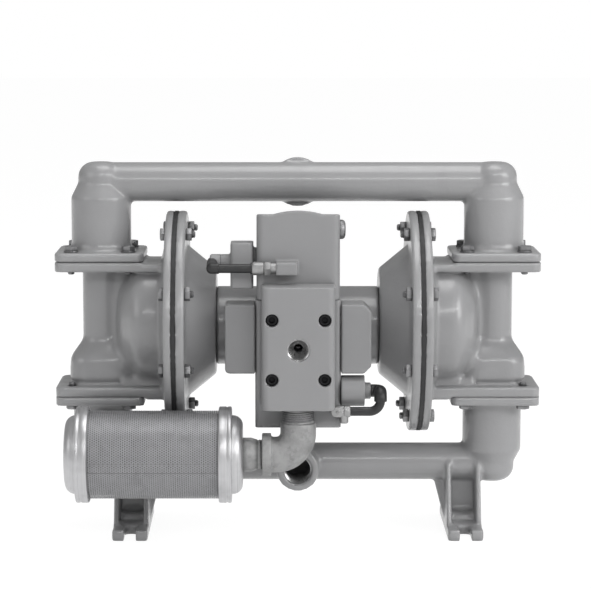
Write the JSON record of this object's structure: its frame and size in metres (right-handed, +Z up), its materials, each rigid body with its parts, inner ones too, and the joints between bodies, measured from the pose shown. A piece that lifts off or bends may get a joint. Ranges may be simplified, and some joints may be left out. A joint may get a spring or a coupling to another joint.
{
  "type": "air operated diaphragm pump",
  "caption": "Metal air operated double diaphragm pump with ball check valves, cross manifolds, a block air valve, a cylindrical exhaust silencer and slotted feet.",
  "frame": {"origin": "on the floor midway between the two feet and on the diaphragm rod's vertical plane", "axes": "+X along the diaphragm rod to the viewer's right, -Y towards the front with the air valve and the suction port, +Z up"},
  "size_m": [0.54, 0.2935, 0.4229],
  "materials": {
    "painted_casting": "satin grey paint over cast metal",
    "machined_metal": "turned",
    "bronze": "turned",
    "black_rubber": "moulded",
    "black_plastic": "moulded",
    "zinc_plate": "zinc plated",
    "dark_screw": "black oxide",
    "silencer_cap_metal": "spun and satin",
    "perforated_metal": "perforated sheet",
    "galvanised_metal": "galvanised, mottled"
  },
  "bodies": {
    "pump": {"air_valve_body": "painted_casting", "centre_bracket": "painted_casting", "discharge_flange_bolts": "zinc_plate", "discharge_manifold": "painted_casting", "exhaust_elbow": "galvanised_metal", "exhaust_nipple": "galvanised_metal", "inlet_block": "painted_casting", "inlet_block_screws": "dark_screw", "left_air_chamber": "painted_casting", "left_air_tube": "black_plastic", "left_chamber_bolts": "zinc_plate", "left_diaphragm": "black_rubber", "left_discharge_seat": "black_rubber", "left_elbow_fitting": "black_plastic", "left_end_cap": "painted_casting", "left_outer_chamber": "painted_casting", "left_pilot_block": "painted_casting", "left_rod_bushing": "bronze", "left_suction_seat": "black_rubber", "left_tube_fitting": "zinc_plate", "right_air_chamber": "painted_casting", "right_air_tube": "black_plastic", "right_chamber_bolts": "zinc_plate", "right_diaphragm": "black_rubber", "right_discharge_seat": "black_rubber", "right_elbow_fitting": "black_plastic", "right_end_cap": "painted_casting", "right_outer_chamber": "painted_casting", "right_pilot_valve": "black_plastic", "right_rod_bushing": "bronze", "right_suction_seat": "black_rubber", "right_tube_fitting": "zinc_plate", "side_plug": "black_plastic", "silencer_element": "black_rubber", "silencer_left_cap": "silencer_cap_metal", "silencer_right_cap": "silencer_cap_metal", "silencer_shell": "perforated_metal", "suction_flange_bolts": "zinc_plate", "suction_manifold": "painted_casting", "upper_block": "painted_casting", "valve_gasket": "black_rubber", "valve_sleeve": "machined_metal"},
    "rod_assembly": {"diaphragm_rod": "machined_metal", "right_inner_plate": "machined_metal", "right_outer_plate": "machined_metal", "left_inner_plate": "machined_metal", "left_outer_plate": "machined_metal"},
    "spool": {"valve_spool": "machined_metal"},
    "pilot": {"pilot_spool": "machined_metal"},
    "right_suction_check": {"right_suction_ball": "black_rubber"},
    "right_discharge_check": {"right_discharge_ball": "black_rubber"},
    "left_suction_check": {"left_suction_ball": "black_rubber"},
    "left_discharge_check": {"left_discharge_ball": "black_rubber"}
  },
  "joints": [
    {"name": "rod_slide", "type": "slide", "parent": "pump", "child": "rod_assembly", "axis": [1, 0, 0], "range_m": [-0.014, 0.014], "deforming": ["right_diaphragm", "left_diaphragm"]},
    {"name": "spool_slide", "type": "slide", "parent": "pump", "child": "spool", "axis": [1, 0, 0], "range_m": [-0.006, 0.006]},
    {"name": "pilot_slide", "type": "slide", "parent": "pump", "child": "pilot", "axis": [1, 0, 0], "range_m": [-0.004, 0.004]},
    {"name": "right_suction_lift", "type": "slide", "parent": "pump", "child": "right_suction_check", "axis": [0, 0, 1], "range_m": [0, 0.01]},
    {"name": "right_discharge_lift", "type": "slide", "parent": "pump", "child": "right_discharge_check", "axis": [0, 0, 1], "range_m": [0, 0.01]},
    {"name": "left_suction_lift", "type": "slide", "parent": "pump", "child": "left_suction_check", "axis": [0, 0, 1], "range_m": [0, 0.01]},
    {"name": "left_discharge_lift", "type": "slide", "parent": "pump", "child": "left_discharge_check", "axis": [0, 0, 1], "range_m": [0, 0.01]}
  ]
}
